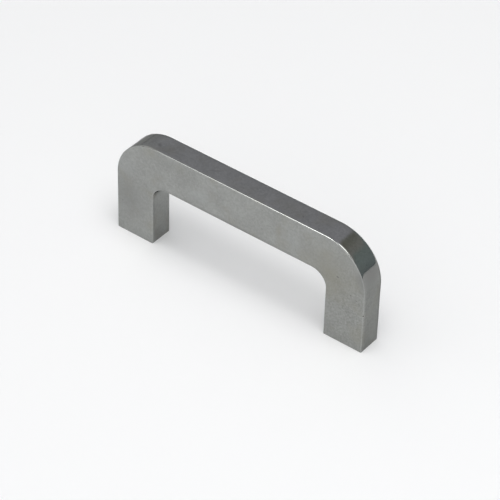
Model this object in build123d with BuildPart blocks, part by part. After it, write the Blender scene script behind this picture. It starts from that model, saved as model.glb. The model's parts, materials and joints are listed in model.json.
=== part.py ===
from build123d import *
import os
from math import radians, tan

# A bridge-shaped cabinet pull, cast in one piece and polished all over.
# It stands on its two feet: +X runs along the bar, +Y from the front face to the back face,
# and +Z away from the cabinet. The origin is midway between the screw holes, on the cabinet's face.

# Driving dimensions, in millimetres and degrees.
hole_spacing = 76.2       # centre to centre of the two screw holes
leg_width = 13.3          # each leg, along the bar
bar_depth = 13.3          # crown of the bar down to the finger gap
thickness = 8.0           # flat front face to flat back face
projection = 35.3         # cabinet's face to the crown of the bar
shoulder_radius = 14.5    # the two outer corners
gap_corner_radius = 5.2   # the two upper corners of the finger gap
edge_radius = 0.3         # polished edge round both flat faces
thread_diameter = 4.0     # metric machine screw
thread_pitch = 0.7        # coarse series
thread_depth = 12.0       # full diameter of the tapping drill, from the foot
drill_point_angle = 118.0
mouth_diameter = 4.6      # countersunk start of the thread
mouth_angle = 90.0

# Sizes that follow from them.
length = hole_spacing + leg_width
gap_width = hole_spacing - leg_width
gap_height = projection - bar_depth
drill_diameter = thread_diameter - thread_pitch
drill_point_height = drill_diameter / 2 / tan(radians(drill_point_angle / 2))

standing = (Align.CENTER, Align.MIN)
foot_plane = Plane(origin=(0, 0, 0), x_dir=(1, 0, 0), z_dir=(0, 0, -1))
drill_end_plane = Plane.XY.offset(thread_depth)

with BuildPart() as pull:
    # The side outline: a block with round shoulders, less the finger gap with its round corners.
    with BuildSketch(Plane.XZ):
        with BuildSketch(mode=Mode.PRIVATE) as block:
            Rectangle(length, projection, align=standing)
            fillet(block.vertices().group_by(Axis.Y)[-1], radius=shoulder_radius)
        with BuildSketch(mode=Mode.PRIVATE) as gap:
            Rectangle(gap_width, gap_height, align=standing)
            fillet(gap.vertices().group_by(Axis.Y)[-1], radius=gap_corner_radius)
        add(block.sketch)
        add(gap.sketch, mode=Mode.SUBTRACT)
    extrude(amount=thickness / 2, both=True)

    # Every edge of the two flat faces is polished round, apart from those on the cabinet's face.
    flat_face_edges = pull.faces().filter_by(Axis.Y).edges()
    foot_edges = pull.faces().filter_by(Axis.Z).group_by(Axis.Z)[0].edges()
    fillet(flat_face_edges - foot_edges, radius=edge_radius)

    # A blind tapped hole up the middle of each leg, with a countersunk mouth and a drill point.
    with Locations(foot_plane):
        with GridLocations(hole_spacing, 0, 2, 1):
            CounterSinkHole(
                radius=drill_diameter / 2,
                counter_sink_radius=mouth_diameter / 2,
                depth=thread_depth,
                counter_sink_angle=mouth_angle,
            )
    with Locations(drill_end_plane):
        with GridLocations(hole_spacing, 0, 2, 1):
            Cone(
                bottom_radius=drill_diameter / 2,
                top_radius=0,
                height=drill_point_height,
                align=(Align.CENTER, Align.CENTER, Align.MIN),
                mode=Mode.SUBTRACT,
            )

pull.part.label = "pull"

os.makedirs("parts", exist_ok=True)
export_step(pull.part, "parts/pull.step")
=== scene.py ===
import json
from math import cos, pi, radians, sin, tan

import bmesh
import bpy
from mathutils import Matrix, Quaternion, Vector


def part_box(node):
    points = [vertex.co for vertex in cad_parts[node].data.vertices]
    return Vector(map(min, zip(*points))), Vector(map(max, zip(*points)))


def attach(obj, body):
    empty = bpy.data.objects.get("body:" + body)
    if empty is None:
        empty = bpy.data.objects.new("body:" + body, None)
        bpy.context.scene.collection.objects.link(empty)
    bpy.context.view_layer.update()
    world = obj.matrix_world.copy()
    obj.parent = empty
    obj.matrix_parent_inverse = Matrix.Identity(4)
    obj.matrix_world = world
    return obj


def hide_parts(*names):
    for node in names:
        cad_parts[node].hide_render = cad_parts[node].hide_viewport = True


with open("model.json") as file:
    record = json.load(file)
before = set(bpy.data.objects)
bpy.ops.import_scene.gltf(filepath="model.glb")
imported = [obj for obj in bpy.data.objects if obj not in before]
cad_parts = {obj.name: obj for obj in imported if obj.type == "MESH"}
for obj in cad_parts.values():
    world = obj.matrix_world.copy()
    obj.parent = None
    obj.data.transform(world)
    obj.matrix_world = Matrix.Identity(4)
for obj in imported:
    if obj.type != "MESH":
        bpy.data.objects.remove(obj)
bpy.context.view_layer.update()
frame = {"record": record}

mm = 0.001
touching = 0.002 * mm     # closer than this counts as the same place
weldBelow = touching / 4  # points closer than this become one
edgeRadius = 0.3 * mm     # of the polished edge round both flat faces
boxLow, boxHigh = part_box("pull")
screwPair = next(m for m in frame["record"]["mounts"] if m["name"] == "screw_pair")
print("frame loaded, box", [round(side / mm, 2) for side in boxHigh - boxLow], "mm")


# small helpers for working as by hand

def startPiece(name, addPrimitive, **place):
    bpy.ops.object.select_all(action="DESELECT")
    addPrimitive(**place)
    piece = bpy.context.object
    piece.name = piece.data.name = name
    return piece


def choose(piece):
    bpy.ops.object.select_all(action="DESELECT")
    piece.select_set(True)
    bpy.context.view_layer.objects.active = piece


def settle(piece):
    # its place, turn and size go into its mesh
    choose(piece)
    bpy.ops.object.transform_apply(location=True, rotation=True, scale=True)


def edit(piece):
    choose(piece)
    bpy.ops.object.mode_set(mode="EDIT")


def done():
    bpy.ops.object.mode_set(mode="OBJECT")


def pick(kind, wanted):
    bpy.ops.mesh.select_mode(type=kind)
    bpy.ops.mesh.select_all(action="DESELECT")
    data = bpy.context.object.data
    mesh = bmesh.from_edit_mesh(data)
    parts = {"VERT": mesh.verts, "EDGE": mesh.edges, "FACE": mesh.faces}[kind]
    for part in parts:
        if wanted(part):
            part.select_set(True)
    mesh.select_flush_mode()
    bmesh.update_edit_mesh(data)


def near(a, b):
    return abs(a - b) < touching


def liesAt(part, axis, value):
    # every corner of an edge or face is on that plane
    return all(near(getattr(v.co, axis), value) for v in part.verts)


def grow(x=0, y=0, z=0):
    bpy.ops.mesh.extrude_region_move(TRANSFORM_OT_translate={"value": (x, y, z)})


def weld():
    bpy.ops.mesh.select_all(action="SELECT")
    bpy.ops.mesh.remove_doubles(threshold=weldBelow)


def turnOutwards():
    weld()
    bpy.ops.mesh.normals_make_consistent(inside=False)


def cutLevel(height, **side):
    # what lies past a level cut goes, and the cut is closed
    bpy.ops.mesh.select_all(action="SELECT")
    bpy.ops.mesh.bisect(
        plane_co=(0, 0, height), plane_no=(0, 0, 1), use_fill=True, threshold=weldBelow, **side,
    )


def applyAll(piece):
    bpy.context.view_layer.objects.active = piece
    for modifier in list(piece.modifiers):
        bpy.ops.object.modifier_apply(modifier=modifier.name)


def copyTo(piece, x):
    choose(piece)
    bpy.ops.object.duplicate(linked=False)
    twin = bpy.context.object
    twin.location.x = x
    settle(twin)
    return twin


def cutAway(piece, tool):
    cut = piece.modifiers.new("cut", "BOOLEAN")
    cut.object = tool
    cut.operation = "DIFFERENCE"
    cut.solver = "EXACT"
    cut.material_mode = "TRANSFER"
    applyAll(piece)
    bpy.data.objects.remove(tool)


# shader helpers

edgeTint = (0.39, 0.39, 0.39, 1)     # hazy plate mirrors no more at a slant than straight on


def addNode(tree, kind, **values):
    node = tree.nodes.new(kind)
    for name, value in values.items():
        if name in node.bl_rna.properties:
            setattr(node, name, value)
        else:
            node.inputs[name.replace("_", " ")].default_value = value
    return node


def wire(tree, *steps):
    for out, into in steps:
        tree.links.new(out, into)


def newGroup(name, inputs, outputs):
    tree = bpy.data.node_groups.new(name, "ShaderNodeTree")
    for label, kind, value in inputs:
        socket = tree.interface.new_socket(name=label, in_out="INPUT", socket_type=kind)
        if value is not None:
            socket.default_value = value
    for label, kind in outputs:
        tree.interface.new_socket(name=label, in_out="OUTPUT", socket_type=kind)
    return tree, tree.nodes.new("NodeGroupInput"), tree.nodes.new("NodeGroupOutput")


def placeGroup(tree, coords, group, values):
    node = tree.nodes.new("ShaderNodeGroup")
    node.node_tree = group
    wire(tree, (coords, node.inputs["Vector"]))
    for name, value in values.items():
        node.inputs[name].default_value = value
    return node


def newMaterial(name):
    material = bpy.data.materials.new(name)
    material.use_nodes = True
    tree = material.node_tree
    shader = tree.nodes["Principled BSDF"]
    shader.inputs["Metallic"].default_value = 1
    shader.inputs["Specular Tint"].default_value = edgeTint
    coords = tree.nodes.new("ShaderNodeTexCoord")
    return material, tree, shader, coords.outputs["Object"]


def setStops(ramp, stops):
    marks = ramp.color_ramp.elements
    for _ in stops[2:]:
        marks.new(0.5)
    for mark, (at, tone) in zip(marks, stops):
        mark.position = at
        mark.color = tone


def mixTones(tree, factor, low, high):
    # low and high are each a colour or another node's output
    mix = addNode(tree, "ShaderNodeMix", data_type="RGBA")
    wire(tree, (factor, mix.inputs["Factor"]))
    for name, tone in (("A", low), ("B", high)):
        if isinstance(tone, tuple):
            mix.inputs[name].default_value = tone
        else:
            wire(tree, (tone, mix.inputs[name]))
    return mix.outputs["Result"]


def spreadRoughness(tree, shader, mask, look):
    # from the smoothest places to the roughest, as the mask runs over its range
    low, high = look.get("maskRange", (0, 1))
    rough = addNode(
        tree, "ShaderNodeMapRange", From_Min=low, From_Max=high,
        To_Min=look["smoothest"], To_Max=look["roughest"],
    )
    wire(tree, (mask, rough.inputs["Value"]), (rough.outputs["Result"], shader.inputs["Roughness"]))


def addRelief(tree, height, rise, **settings):
    relief = addNode(tree, "ShaderNodeBump", Strength=1, Distance=rise, **settings)
    wire(tree, (height, relief.inputs["Height"]))
    return relief


# haze left by the buffing wheel: broad clouds with a fine curdled grain in them

def makeHazeGroup():
    tree, given, out = newGroup(
        "buffingHaze",
        [
            ("Vector", "NodeSocketVector", None),
            ("Cloud Scale", "NodeSocketFloat", 110),
            ("Grain Scale", "NodeSocketFloat", 1000),
            ("Grain Share", "NodeSocketFloat", 0.5),
        ],
        [("Haze", "NodeSocketFloat"), ("Stain", "NodeSocketFloat"), ("Ripple", "NodeSocketFloat")],
    )
    cloud = addNode(tree, "ShaderNodeTexNoise", Detail=3, Roughness=0.5)
    grain = addNode(tree, "ShaderNodeTexNoise", Detail=2, Roughness=0.5, Distortion=0.5)
    stain = addNode(tree, "ShaderNodeTexNoise", noise_dimensions="4D", W=4.7, Detail=2)
    both = addNode(tree, "ShaderNodeMix")
    spread = addNode(tree, "ShaderNodeMapRange", From_Min=0.33, From_Max=0.67)
    patches = addNode(
        tree, "ShaderNodeMapRange", interpolation_type="SMOOTHSTEP", From_Min=0.48, From_Max=0.72,
    )
    wire(
        tree,
        (given.outputs["Vector"], cloud.inputs["Vector"]),
        (given.outputs["Vector"], grain.inputs["Vector"]),
        (given.outputs["Vector"], stain.inputs["Vector"]),
        (given.outputs["Cloud Scale"], cloud.inputs["Scale"]),
        (given.outputs["Grain Scale"], grain.inputs["Scale"]),
        (given.outputs["Cloud Scale"], stain.inputs["Scale"]),
        (given.outputs["Grain Share"], both.inputs["Factor"]),
        (cloud.outputs["Fac"], both.inputs["A"]),
        (grain.outputs["Fac"], both.inputs["B"]),
        (both.outputs["Result"], spread.inputs["Value"]),
        (spread.outputs["Result"], out.inputs["Haze"]),
        (stain.outputs["Fac"], patches.inputs["Value"]),
        (patches.outputs["Result"], out.inputs["Stain"]),
        (cloud.outputs["Fac"], out.inputs["Ripple"]),
    )
    return tree


# sparse pinholes from the casting

def makePinholeGroup():
    tree, given, out = newGroup(
        "pinholes",
        [
            ("Vector", "NodeSocketVector", None),
            ("Spacing Scale", "NodeSocketFloat", 300),
            ("Hole Size", "NodeSocketFloat", 0.1),
        ],
        [("Hole", "NodeSocketFloat")],
    )
    cells = addNode(tree, "ShaderNodeTexVoronoi", Randomness=1)
    edge = addNode(tree, "ShaderNodeMapRange", interpolation_type="SMOOTHSTEP", To_Min=1, To_Max=0)
    split = addNode(tree, "ShaderNodeSeparateColor")
    few = addNode(tree, "ShaderNodeMapRange", From_Min=0.55, From_Max=0.9)
    both = addNode(tree, "ShaderNodeMath", operation="MULTIPLY")
    wire(
        tree,
        (given.outputs["Vector"], cells.inputs["Vector"]),
        (given.outputs["Spacing Scale"], cells.inputs["Scale"]),
        (cells.outputs["Distance"], edge.inputs["Value"]),
        (given.outputs["Hole Size"], edge.inputs["From Max"]),
        (cells.outputs["Color"], split.inputs["Color"]),
        (split.outputs["Red"], few.inputs["Value"]),
        (edge.outputs["Result"], both.inputs[0]),
        (few.outputs["Result"], both.inputs[1]),
        (both.outputs["Value"], out.inputs["Hole"]),
    )
    return tree


# long fine marks of a tool: stretched noise

def makeToolMarkGroup():
    tree, given, out = newGroup(
        "toolMarks",
        [
            ("Vector", "NodeSocketVector", None),
            ("Stretch", "NodeSocketVector", (1, 1, 1)),
            ("Mark Scale", "NodeSocketFloat", 4000),
        ],
        [("Marks", "NodeSocketFloat")],
    )
    stretch = addNode(tree, "ShaderNodeVectorMath", operation="MULTIPLY")
    noise = addNode(tree, "ShaderNodeTexNoise", Detail=4, Roughness=0.6)
    wire(
        tree,
        (given.outputs["Vector"], stretch.inputs[0]),
        (given.outputs["Stretch"], stretch.inputs[1]),
        (stretch.outputs["Vector"], noise.inputs["Vector"]),
        (given.outputs["Mark Scale"], noise.inputs["Scale"]),
        (noise.outputs["Fac"], out.inputs["Marks"]),
    )
    return tree


hazeGroup = makeHazeGroup()
pinholeGroup = makePinholeGroup()
toolMarkGroup = makeToolMarkGroup()


# polished plate: what shows nearly all over

polishedLook = {
    "dark": (0.277, 0.284, 0.273, 1),
    "pale": (0.354, 0.361, 0.350, 1),
    "smoothest": 0.05,
    "roughest": 0.09,
    "haze": {"Cloud Scale": 170, "Grain Scale": 1400, "Grain Share": 0.6},
    "pinholes": {"Spacing Scale": 330, "Hole Size": 0.12},
    "rippleHeight": 0.006 * mm,
    "rollDrop": 0.24 * mm,          # the buffed faces roll over towards the rounded edges
    "rollPower": 12,
    "peelAndShade": {                       # coarser, like orange peel, round the right leg, and darker there as painted shade
        "dark": (0.230, 0.235, 0.224, 1),
        "pale": (0.353, 0.360, 0.347, 1),
        "haze": {"Cloud Scale": 260, "Grain Scale": 1500, "Grain Share": 0.7},
        "at": (40, -4, 13), "reach": (23, 12, 30), "share": 1,
    },
    "tints": {
        "stained": (0.271, 0.263, 0.217, 1),
        # painted shade: this tint darkens the metal to stand for darker reflections
        "paintedShade": (0.236, 0.242, 0.234, 1),
        # real scuffs on the top of the bar, and also painted shade at the right end's top and along the
        # bar's lower front edge
        "scuffsAndPaintedShade": (0.210, 0.210, 0.204, 1),
        # painted light: this tint lightens the metal to stand for brighter reflections
        "paintedLight": (0.384, 0.397, 0.397, 1),
        "worn": (0.400, 0.410, 0.400, 1),
        "pinhole": (0.175, 0.179, 0.168, 1),
    },
    "stainShare": 0.31,
    "wornStops": [(0.45, 0), (0.7, 0.4), (0.97, 0.4), (0.998, 0)],  # across the rounded edge
    "patches": [                    # in millimetres and degrees
        {"tint": "stained", "at": (32, -4, 23), "reach": (15, 5, 13), "share": 0.4},
        {"tint": "stained", "at": (14.6, -4, 28.6), "reach": (1.8, 3, 4.2), "share": 0.45},
        {"tint": "stained", "at": (15.4, 0, 35.3), "reach": (8, 4, 2), "share": 0.24},
        # painted shade: the outer side of the left leg made darker, standing for a darker reflection
        {"tint": "paintedShade", "at": (-40.5, -4, 13), "reach": (12, 3, 14), "share": 0.55},
        # painted shade: the top of the right end made darker, with the next line too, standing for a darker
        # reflection
        {"tint": "paintedShade", "at": (44.7, -1, 25.5), "reach": (5, 8, 8), "share": 0.95},
        {"tint": "scuffsAndPaintedShade", "at": (43.8, 0.5, 26.2), "reach": (4, 8, 4.5), "share": 0.85},
        # painted light: the bottom of the left leg and places along the front made paler, standing for
        # brighter reflections
        {"tint": "paintedLight", "at": (-35.5, -4, 2.5), "reach": (8, 3, 7), "share": 0.2},
        {"tint": "paintedLight", "at": (-13.7, -4, 26.7), "reach": (7, 3, 4), "share": 0.4},
        {"tint": "paintedLight", "at": (-41, -4, 25), "reach": (6, 3, 5), "share": 0.3},
        {"tint": "paintedLight", "at": (19, -4, 27), "reach": (6, 3, 6), "share": 0.25},
        # painted shade along the lower front edge of the bar, where it mirrors the shade beneath
        {"tint": "scuffsAndPaintedShade", "at": (0, -4, 22), "reach": (42, 1, 1.8), "share": 0.6},
        # real scuffs and smudges on the top of the bar
        {"tint": "scuffsAndPaintedShade", "at": (-11.2, -0.5, 35.3), "reach": (2.5, 0.45, 0.5), "turn": 33, "share": 0.6},
        {"tint": "scuffsAndPaintedShade", "at": (-23.2, -0.7, 35.3), "reach": (3.4, 0.5, 0.5), "turn": 9, "share": 0.25},
        {"tint": "scuffsAndPaintedShade", "at": (5.1, 1.25, 35.3), "reach": (1.1, 0.35, 0.5), "turn": 8, "share": 0.45},
        {"tint": "scuffsAndPaintedShade", "at": (-33.7, 0.1, 35.3), "reach": (0.9, 0.7, 0.9), "share": 0.4},
        {"tint": "scuffsAndPaintedShade", "at": (-31.1, -1.0, 35.3), "reach": (1.6, 0.9, 0.6), "turn": -35, "share": 0.7},
    ],
}


def addPatch(tree, coords, plan):
    # soft mask: its share in the middle of the patch, 0 from its rim outwards
    place = addNode(
        tree, "ShaderNodeMapping", vector_type="TEXTURE", Location=Vector(plan["at"]) * mm,
        Rotation=(0, 0, radians(plan.get("turn", 0))), Scale=Vector(plan["reach"]) * mm,
    )
    length = addNode(tree, "ShaderNodeVectorMath", operation="LENGTH")
    mask = addNode(
        tree, "ShaderNodeMapRange", interpolation_type="SMOOTHSTEP", To_Min=plan["share"], To_Max=0,
    )
    wire(
        tree,
        (coords, place.inputs["Vector"]),
        (place.outputs["Vector"], length.inputs[0]),
        (length.outputs["Value"], mask.inputs["Value"]),
    )
    return mask.outputs["Result"]


def addDepth(tree, coords):
    # distance from the middle of the thickness, towards the front or the back
    place = addNode(tree, "ShaderNodeSeparateXYZ")
    depth = addNode(tree, "ShaderNodeMath", operation="ABSOLUTE")
    wire(tree, (coords, place.inputs["Vector"]), (place.outputs["Y"], depth.inputs[0]))
    return depth.outputs["Value"]


def addEdgeMask(tree, depth):
    # depth tells the rounded edge from the flat faces beside it
    across = addNode(tree, "ShaderNodeMapRange", From_Min=boxHigh.y - edgeRadius, From_Max=boxHigh.y)
    ramp = addNode(tree, "ShaderNodeValToRGB")
    setStops(ramp, [(at, (share, share, share, 1)) for at, share in polishedLook["wornStops"]])
    wire(tree, (depth, across.inputs["Value"]), (across.outputs["Result"], ramp.inputs["Fac"]))
    return ramp.outputs["Color"]


def addRoll(tree, depth):
    # level in the middle of a narrow face, then falling ever faster towards its edges
    across = addNode(tree, "ShaderNodeMapRange", From_Min=0, From_Max=boxHigh.y)
    fall = addNode(tree, "ShaderNodeMath", operation="POWER")
    fall.inputs[1].default_value = polishedLook["rollPower"]
    wire(tree, (depth, across.inputs["Value"]), (across.outputs["Result"], fall.inputs[0]))
    roll = addRelief(tree, fall.outputs["Value"], polishedLook["rollDrop"], invert=True)
    return roll.outputs["Normal"]


def makePolished():
    material, tree, shader, coords = newMaterial("polishedPlate")
    tints, peelAndShade = polishedLook["tints"], polishedLook["peelAndShade"]
    haze = placeGroup(tree, coords, hazeGroup, polishedLook["haze"])
    coarse = placeGroup(tree, coords, hazeGroup, peelAndShade["haze"])
    holes = placeGroup(tree, coords, pinholeGroup, polishedLook["pinholes"])
    tone = mixTones(tree, haze.outputs["Haze"], polishedLook["dark"], polishedLook["pale"])
    peelAndShadeTone = mixTones(tree, coarse.outputs["Haze"], peelAndShade["dark"], peelAndShade["pale"])
    colour = mixTones(tree, addPatch(tree, coords, peelAndShade), tone, peelAndShadeTone)

    # stains and scuffs, patches of painted shade and painted light, and the rubbed edges, one over another,
    # and the pinholes last
    stain = addNode(tree, "ShaderNodeMath", operation="MULTIPLY")
    stain.inputs[1].default_value = polishedLook["stainShare"]
    wire(tree, (haze.outputs["Stain"], stain.inputs[0]))
    colour = mixTones(tree, stain.outputs["Value"], colour, tints["stained"])
    for patch in polishedLook["patches"]:
        colour = mixTones(tree, addPatch(tree, coords, patch), colour, tints[patch["tint"]])
    depth = addDepth(tree, coords)
    colour = mixTones(tree, addEdgeMask(tree, depth), colour, tints["worn"])
    colour = mixTones(tree, holes.outputs["Hole"], colour, tints["pinhole"])

    spreadRoughness(tree, shader, haze.outputs["Haze"], polishedLook)
    ripple = addRelief(tree, haze.outputs["Ripple"], polishedLook["rippleHeight"])
    wire(
        tree,
        (colour, shader.inputs["Base Color"]),
        (addRoll(tree, depth), ripple.inputs["Normal"]),
        (ripple.outputs["Normal"], shader.inputs["Normal"]),
    )
    return material


# ground foot: flat-ground across the two feet, so satin with straight marks along the pull

groundLook = {
    "dark": (0.27, 0.27, 0.265, 1),
    "pale": (0.42, 0.42, 0.41, 1),
    "smoothest": 0.24,
    "roughest": 0.46,
    "maskRange": (0.3, 0.7),
    "marks": {"Stretch": (0.03, 1, 1), "Mark Scale": 5000},
    "markHeight": 0.004 * mm,
    "haze": {"Cloud Scale": 160, "Grain Scale": 1200, "Grain Share": 0.3},
    "hazeShare": 0.35,
}


def makeGround():
    material, tree, shader, coords = newMaterial("groundFoot")
    marks = placeGroup(tree, coords, toolMarkGroup, groundLook["marks"])
    haze = placeGroup(tree, coords, hazeGroup, groundLook["haze"])
    both = addNode(tree, "ShaderNodeMix", Factor=groundLook["hazeShare"])
    wire(tree, (marks.outputs["Marks"], both.inputs["A"]), (haze.outputs["Haze"], both.inputs["B"]))
    tone = mixTones(tree, both.outputs["Result"], groundLook["dark"], groundLook["pale"])
    spreadRoughness(tree, shader, both.outputs["Result"], groundLook)
    relief = addRelief(tree, marks.outputs["Marks"], groundLook["markHeight"])
    wire(
        tree,
        (tone, shader.inputs["Base Color"]),
        (relief.outputs["Normal"], shader.inputs["Normal"]),
    )
    return material


# cut thread: bare metal torn by the tap, with marks running round the hole

threadLook = {
    "dark": (0.24, 0.238, 0.23, 1),
    "pale": (0.44, 0.435, 0.42, 1),
    "smoothest": 0.28,
    "roughest": 0.5,
    "maskRange": (0.3, 0.7),
    "marks": {"Stretch": (0.25, 0.25, 1), "Mark Scale": 9000},
    "markHeight": 0.006 * mm,
    "pinholes": {"Spacing Scale": 1400, "Hole Size": 0.25},
}


def makeCutThread():
    material, tree, shader, coords = newMaterial("cutThread")
    marks = placeGroup(tree, coords, toolMarkGroup, threadLook["marks"])
    holes = placeGroup(tree, coords, pinholeGroup, threadLook["pinholes"])
    tone = mixTones(tree, marks.outputs["Marks"], threadLook["dark"], threadLook["pale"])
    spotted = mixTones(tree, holes.outputs["Hole"], tone, polishedLook["tints"]["pinhole"])
    spreadRoughness(tree, shader, marks.outputs["Marks"], threadLook)
    relief = addRelief(tree, marks.outputs["Marks"], threadLook["markHeight"])
    wire(
        tree,
        (spotted, shader.inputs["Base Color"]),
        (relief.outputs["Normal"], shader.inputs["Normal"]),
    )
    return material


# pit: dull dirt in a small flaw of the casting, thin in a shallow pit and black in a nick or fleck

pitLook = {
    "thin": {"dark": (0.165, 0.165, 0.157, 1), "pale": (0.245, 0.243, 0.230, 1)},
    "black": {"dark": (0.030, 0.030, 0.028, 1), "pale": (0.080, 0.079, 0.074, 1)},
    "smoothest": 0.35,
    "roughest": 0.6,
    "haze": {"Cloud Scale": 900, "Grain Scale": 5000, "Grain Share": 0.5},
}


def makePit(dirt):
    material, tree, shader, coords = newMaterial(dirt + "Dirt")
    haze = placeGroup(tree, coords, hazeGroup, pitLook["haze"])
    tone = mixTones(tree, haze.outputs["Haze"], pitLook[dirt]["dark"], pitLook[dirt]["pale"])
    spreadRoughness(tree, shader, haze.outputs["Haze"], pitLook)
    wire(tree, (tone, shader.inputs["Base Color"]))
    return material


polishedPlate = makePolished()
groundFoot = makeGround()
cutThread = makeCutThread()
pitDirt = {dirt: makePit(dirt) for dirt in ("thin", "black")}
print("materials made")


# the cast pull: a flat U laid out as one strip, then thickened and polished round its edges

pull = {
    "length": boxHigh.x - boxLow.x,
    "thickness": boxHigh.y - boxLow.y,
    "height": boxHigh.z - boxLow.z,
    "holeSpacing": screwPair["dims"]["spacing_x_mm"] * mm,
    "barDepth": 13.3 * mm,
    "shoulderRadius": 14.5 * mm,
    "shoulderSteps": 45,
    "gapCornerRadius": 5.2 * mm,
    "gapCornerSteps": 24,
    "edgeSteps": 8,
    "flatBelow": radians(1),      # faces that meet at less become one
    "smoothBelow": radians(28),   # edges sharper than this stay hard
    "footFacing": -0.99,          # a foot's normal points at least this far down
}
pull["legWidth"] = pull["length"] - pull["holeSpacing"]
pull["gapWidth"] = pull["holeSpacing"] - pull["legWidth"]
pull["gapHeight"] = pull["height"] - pull["barDepth"]


def modelPull():
    front, back = -pull["thickness"] / 2, pull["thickness"] / 2
    leg, gapHigh, gapSide = pull["legWidth"], pull["gapHeight"], pull["gapWidth"] / 2
    body = startPiece(
        "castPull", bpy.ops.mesh.primitive_plane_add, size=1,
        location=(-pull["holeSpacing"] / 2, front, gapHigh / 2), rotation=(pi / 2, 0, 0),
    )
    body.scale = (leg, gapHigh, 1)
    settle(body)

    # front face as a strip: up the left leg, along the bar, down the right leg
    edit(body)
    pick("EDGE", lambda e: liesAt(e, "z", gapHigh))
    grow(z=pull["barDepth"])
    pick("EDGE", lambda e: liesAt(e, "x", -gapSide) and any(v.co.z > gapHigh + touching for v in e.verts))
    grow(x=pull["gapWidth"])
    grow(x=leg)
    pick("EDGE", lambda e: liesAt(e, "z", gapHigh) and all(v.co.x > gapSide - touching for v in e.verts))
    grow(z=-gapHigh)
    bpy.ops.mesh.select_all(action="SELECT")
    bpy.ops.mesh.remove_doubles(threshold=touching)
    bpy.ops.mesh.dissolve_limited(angle_limit=pull["flatBelow"])

    # round shoulders and round corners of the finger gap
    pick("VERT", lambda v: near(v.co.z, pull["height"]))
    bpy.ops.mesh.bevel(
        offset=pull["shoulderRadius"], segments=pull["shoulderSteps"],
        affect="VERTICES", clamp_overlap=False,
    )
    pick("VERT", lambda v: near(v.co.z, gapHigh) and near(abs(v.co.x), gapSide))
    bpy.ops.mesh.bevel(
        offset=pull["gapCornerRadius"], segments=pull["gapCornerSteps"],
        affect="VERTICES", clamp_overlap=False,
    )

    # thickness, then the polished edge all round both flat faces but not where the feet stand
    bpy.ops.mesh.select_mode(type="FACE")
    bpy.ops.mesh.select_all(action="SELECT")
    grow(y=pull["thickness"])
    turnOutwards()
    pick(
        "EDGE",
        lambda e: (liesAt(e, "y", front) or liesAt(e, "y", back)) and not liesAt(e, "z", 0),
    )
    bpy.ops.mesh.bevel(
        offset=edgeRadius, segments=pull["edgeSteps"],
        affect="EDGES", clamp_overlap=False,
    )
    turnOutwards()
    done()
    for finish in (polishedPlate, groundFoot, cutThread):
        body.data.materials.append(finish)
    return body


# the two tapped holes: the tap's spiral, the countersink at its mouth and the drilled end above it

tapped = {
    "wallRadius": screwPair["dims"]["hole_r_mm"] * mm,
    "tipRadius": 2.0 * mm,    # half the screw's diameter
    "pitch": 0.7 * mm,
    "tipFlat": 0.0875 * mm,
    "flankAngle": radians(30),
    "threadDepth": 10.4 * mm,
    "drillDepth": 12.0 * mm,
    "drillPlay": 0.01 * mm,   # the drilled end stays just inside the thread's wall
    "pointAngle": radians(118),
    "mouthRadius": 2.3 * mm,
    "overrun": 0.6 * mm,      # how far the tools stand out below the foot
    "roundSteps": 48,
    "turns": 19,
}
halfStep = pi / tapped["roundSteps"]


def modelCone(name, radius, low, rise, point):
    # a round bar that rises and then comes to a point
    cone = startPiece(
        name, bpy.ops.mesh.primitive_circle_add, vertices=tapped["roundSteps"],
        radius=radius, fill_type="NGON", location=(0, 0, low), rotation=(0, 0, halfStep),
    )
    settle(cone)
    edit(cone)
    bpy.ops.mesh.select_all(action="SELECT")
    if rise:
        grow(z=rise)
    grow(z=point)
    bpy.ops.mesh.merge(type="CENTER")
    turnOutwards()
    done()
    cone.data.materials.append(cutThread)
    return cone


def modelCountersink():
    # 90 degrees, so as high as it is wide
    wide = tapped["mouthRadius"] + tapped["overrun"]
    return modelCone("countersink", wide, -tapped["overrun"], 0, wide)


def modelDrill():
    radius = tapped["wallRadius"] - tapped["drillPlay"]
    low = tapped["threadDepth"] - tapped["pitch"] / 2
    point = radius / tan(tapped["pointAngle"] / 2)
    return modelCone("drill", radius, low, tapped["drillDepth"] - low, point)


def modelTap():
    # one tooth section at the wall of the hole
    wall, tip, low = tapped["wallRadius"], tapped["tipRadius"], -tapped["overrun"] - tapped["pitch"]
    rootWidth = tapped["tipFlat"] + 2 * (tip - wall) * tan(tapped["flankAngle"])
    tap = startPiece(
        "tap", bpy.ops.mesh.primitive_plane_add, size=1,
        location=((wall + tip) / 2, 0, low), rotation=(pi / 2, 0, 0),
    )
    tap.scale = (tip - wall, rootWidth, 1)
    settle(tap)
    edit(tap)
    pick("VERT", lambda v: near(v.co.x, tip))
    bpy.ops.transform.resize(value=(1, 1, tapped["tipFlat"] / rootWidth), center_override=(tip, 0, low))
    pick("EDGE", lambda e: liesAt(e, "x", wall))
    bpy.ops.mesh.delete(type="EDGE")
    pick("VERT", lambda v: near(v.co.x, wall) and v.co.z > low)
    bpy.ops.mesh.extrude_vertices_move(
        TRANSFORM_OT_translate={"value": (0, 0, tapped["pitch"] - rootWidth)},
    )
    done()

    # wound up turn on turn, then cut off level at both ends
    spiral = tap.modifiers.new("spiral", "SCREW")
    spiral.angle = 2 * pi
    spiral.screw_offset = tapped["pitch"]
    spiral.iterations = tapped["turns"]
    spiral.steps = spiral.render_steps = tapped["roundSteps"]
    applyAll(tap)
    edit(tap)
    weld()
    cutLevel(-tapped["overrun"], clear_inner=True)
    cutLevel(tapped["threadDepth"], clear_outer=True)
    turnOutwards()
    done()
    tap.data.materials.append(cutThread)
    return tap


# small flaws that show: pits in the front face, nicks in its edges and a fleck on the bar
# each has its place, its size across and the turn of its long side, in millimetres and degrees,
# and the dirt that lies in it

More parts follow.
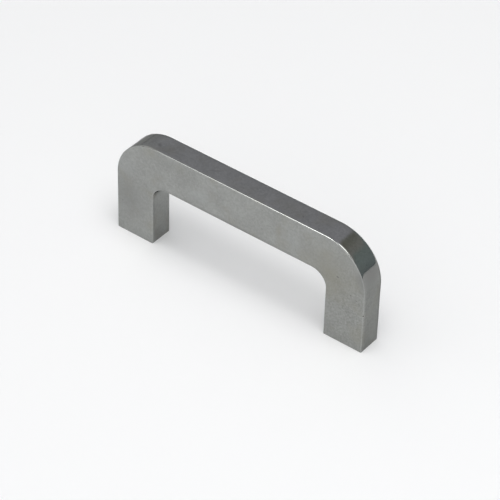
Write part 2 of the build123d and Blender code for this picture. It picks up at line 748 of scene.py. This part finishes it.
flaws = {
    "upperPit": {"at": (35.42, -4.04, 23.05), "size": (1.15, 0.26, 0.50), "turn": 28, "dirt": "thin"},
    "lowerPit": {"at": (40.04, -4.04, 18.85), "size": (0.55, 0.22, 0.46), "turn": 10, "dirt": "thin"},
    "edgeNick": {"at": (44.62, -3.86, 13.69), "size": (0.40, 0.30, 0.55), "turn": 0, "dirt": "black"},
    "shoulderNick": {
        "at": (-34.98, -3.80, 34.54), "size": (0.70, 0.40, 0.30), "turn": -19, "dirt": "black",
    },
    "barFleck": {"at": (-30.98, -1.1, 35.33), "size": (0.55, 0.45, 0.12), "turn": 0, "dirt": "black"},
}

# the lens that cuts them, 1 across before it takes a flaw's size

flawLens = {"steps": 20, "rings": 10, "radius": 0.5, "thinFrom": 0.2, "thinBy": 0.7}


def modelFlawTool():
    # thinner at one end than at the other
    lens = startPiece(
        "flawTool", bpy.ops.mesh.primitive_uv_sphere_add,
        segments=flawLens["steps"], ring_count=flawLens["rings"], radius=flawLens["radius"],
    )
    edit(lens)
    pick("VERT", lambda v: v.co.x > flawLens["thinFrom"])
    bpy.ops.transform.resize(value=(1, 1, flawLens["thinBy"]), center_override=(0, 0, 0))
    turnOutwards()
    done()
    lens.data.materials.append(pitDirt["thin"])
    return lens


def cutFlaws(body):
    lens = modelFlawTool()
    for plan in flaws.values():
        tool = copyTo(lens, 0)
        tool.scale = Vector(plan["size"]) * mm
        tool.rotation_euler = (0, radians(plan["turn"]), 0)
        tool.location = Vector(plan["at"]) * mm
        tool.data.materials[0] = pitDirt[plan["dirt"]]
        settle(tool)
        cutAway(body, tool)
    bpy.data.objects.remove(lens)


def sharpenBorders(body):
    # a hard edge wherever one finish meets another
    edit(body)
    pick("EDGE", lambda e: len({f.material_index for f in e.link_faces}) > 1)
    bpy.ops.mesh.mark_sharp()
    done()


def finishPull(body):
    cutFlaws(body)
    for tool in (modelTap(), modelCountersink(), modelDrill()):
        for side in (-1, 1):
            cutAway(body, copyTo(tool, side * pull["holeSpacing"] / 2))
        bpy.data.objects.remove(tool)
    edit(body)
    turnOutwards()
    pick("FACE", lambda f: f.normal.z < pull["footFacing"] and liesAt(f, "z", 0))
    body.active_material_index = body.data.materials.find(groundFoot.name)
    bpy.ops.object.material_slot_assign()
    done()
    choose(body)
    bpy.ops.object.shade_smooth_by_angle(angle=pull["smoothBelow"])
    sharpenBorders(body)
    level = body.modifiers.new("flatFacesStayFlat", "WEIGHTED_NORMAL")
    level.mode = "FACE_AREA"
    level.keep_sharp = True
    applyAll(body)


castPull = modelPull()
finishPull(castPull)
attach(castPull, "root")
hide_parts("pull")
print("pull modelled:", len(castPull.data.polygons), "faces")


# white table top, quite matt so that it mirrors none of the softboxes

table = {"size": 2.4, "drop": 0.02 * mm, "colour": (0.95, 0.95, 0.945, 1), "gloss": 0}


def layTable():
    floor = startPiece(
        "floor", bpy.ops.mesh.primitive_plane_add, size=table["size"], location=(0, 0, -table["drop"]),
    )
    settle(floor)
    material = bpy.data.materials.new("paleTable")
    material.use_nodes = True
    shader = material.node_tree.nodes["Principled BSDF"]
    shader.inputs["Base Color"].default_value = table["colour"]
    shader.inputs["Specular IOR Level"].default_value = table["gloss"]
    floor.data.materials.append(material)


layTable()
print("table laid")


# soft light: oval softboxes, each with its place, tilt and half size in degrees and its distance in metres
# those for the metal are only mirrored in it, and the one for the table only lights what is matt

softboxes = {
    "frontBox": {
        "for": "metal", "left": 24.5, "up": 52.5, "tilt": 43, "away": 0.8,
        "long": 28.7, "short": 14.9, "radiance": 3.2,
    },
    "sideBox": {
        "for": "metal", "left": 22, "up": 39, "tilt": 0, "away": 0.9,
        "long": 11.5, "short": 9, "radiance": 6.6,
    },
    "topBox": {
        "for": "metal", "left": -98.7, "up": 66, "tilt": -54, "away": 1.0,
        "long": 18, "short": 11.5, "radiance": 3.5,
    },
    "topGlow": {
        "for": "metal", "left": -98.7, "up": 62, "tilt": -54, "away": 1.2,
        "long": 30, "short": 22, "radiance": 0.64,
    },
    "lowBox": {
        "for": "metal", "left": -15, "up": 9, "tilt": 90, "away": 1.0,
        "long": 16, "short": 7, "radiance": 1.1,
    },
    "tableBox": {
        "for": "table", "left": -55, "up": 75, "tilt": 0, "away": 1.0,
        "long": 22, "short": 22, "radiance": 3.35,
    },
}


def hangSoftbox(name, box):
    left, up = radians(box["left"]), radians(box["up"])
    towards = Vector((-sin(left) * cos(up), -cos(left) * cos(up), sin(up)))
    bpy.ops.object.select_all(action="DESELECT")
    bpy.ops.object.light_add(type="AREA", location=towards * box["away"])
    lamp = bpy.context.object
    lamp.name = lamp.data.name = name
    lamp.rotation_mode = "QUATERNION"
    tilt = Quaternion((0, 0, 1), radians(box["tilt"]))
    lamp.rotation_quaternion = towards.to_track_quat("Z", "Y") @ tilt
    lamp.data.shape = "ELLIPSE"
    lamp.data.size = 2 * box["away"] * tan(radians(box["short"]))
    lamp.data.size_y = 2 * box["away"] * tan(radians(box["long"]))
    area = pi / 4 * lamp.data.size * lamp.data.size_y
    lamp.data.energy = box["radiance"] * pi * area
    lamp.visible_diffuse = box["for"] == "table"
    lamp.visible_glossy = box["for"] == "metal"


# a grey room, paler in front, to the left and in one place behind, with a dark corner to the back right
# start and end are cosines of the angle from a side's middle, and each side covers the ones before it

room = {
    "grey": (0.452, 0.450, 0.487, 1),
    "sides": [
        {"tone": (0.599, 0.599, 0.604, 1), "towards": (-0.75, -0.62, 0.22), "start": 0.0, "end": 0.65},
        {"tone": (0.86, 0.86, 0.86, 1), "towards": (-0.93, -0.25, 0.27), "start": 0.62, "end": 0.76},
        {"tone": (0.585, 0.585, 0.605, 1), "towards": (-0.787, 0.615, 0.03), "start": 0.978, "end": 0.996},
        {"tone": (0.905, 0.905, 0.905, 1), "towards": (0.25, -0.96, 0.12), "start": 0.80, "end": 0.92},
    ],
    "corner": {"towards": (0.70, 0.66, 0.27), "start": 0.595, "end": 0.70},
    "cornerTones": [                # from low to high
        (0.10, (0.303, 0.349, 0.357, 1)),
        (0.52, (0.276, 0.320, 0.314, 1)),
        (0.62, (0.333, 0.335, 0.322, 1)),
        (0.68, (0.326, 0.326, 0.308, 1)),
        (0.76, (0.253, 0.256, 0.230, 1)),
    ],
}


def addSideMask(tree, direction, side):
    along = addNode(tree, "ShaderNodeVectorMath", operation="DOT_PRODUCT")
    along.inputs[1].default_value = side["towards"]
    mask = addNode(
        tree, "ShaderNodeMapRange", interpolation_type="SMOOTHSTEP",
        From_Min=side["start"], From_Max=side["end"],
    )
    wire(tree, (direction, along.inputs[0]), (along.outputs["Value"], mask.inputs["Value"]))
    return mask.outputs["Result"]


def paintRoom():
    world = bpy.data.worlds.new("room")
    bpy.context.scene.world = world
    world.use_nodes = True
    tree = world.node_tree
    direction = tree.nodes.new("ShaderNodeTexCoord").outputs["Generated"]
    paint = room["grey"]
    for side in room["sides"]:
        paint = mixTones(tree, addSideMask(tree, direction, side), paint, side["tone"])

    # the corner changes with height
    height = tree.nodes.new("ShaderNodeSeparateXYZ")
    corner = tree.nodes.new("ShaderNodeValToRGB")
    setStops(corner, room["cornerTones"])
    cornerMask = addSideMask(tree, direction, room["corner"])
    paint = mixTones(tree, cornerMask, paint, corner.outputs["Color"])
    wire(
        tree,
        (direction, height.inputs["Vector"]),
        (height.outputs["Z"], corner.inputs["Fac"]),
        (paint, tree.nodes["Background"].inputs["Color"]),
    )


for boxName, boxPlan in softboxes.items():
    hangSoftbox(boxName, boxPlan)
paintRoom()
print("light set")


# camera where the photograph was taken from

view = {
    "eye": (322.2 * mm, -429.96 * mm, 461.2 * mm),
    "turned": 36.70,          # degrees to the right of straight in front
    "down": 39.92,
    "roll": 1.68,
    "lens": 174.68,           # this and the sensor in millimetres
    "sensor": 36,
}


def setCamera():
    turned, down = radians(view["turned"]), radians(view["down"])
    forward = Vector((-sin(turned) * cos(down), cos(turned) * cos(down), -sin(down)))
    bpy.ops.object.select_all(action="DESELECT")
    bpy.ops.object.camera_add(location=view["eye"])
    camera = bpy.context.object
    camera.rotation_mode = "QUATERNION"
    roll = Quaternion((0, 0, 1), radians(view["roll"]))
    camera.rotation_quaternion = forward.to_track_quat("-Z", "Y") @ roll
    camera.data.sensor_width = view["sensor"]
    camera.data.lens = view["lens"]
    bpy.context.scene.camera = camera


setCamera()
bpy.context.scene.view_settings.view_transform = "Standard"
print("camera set")
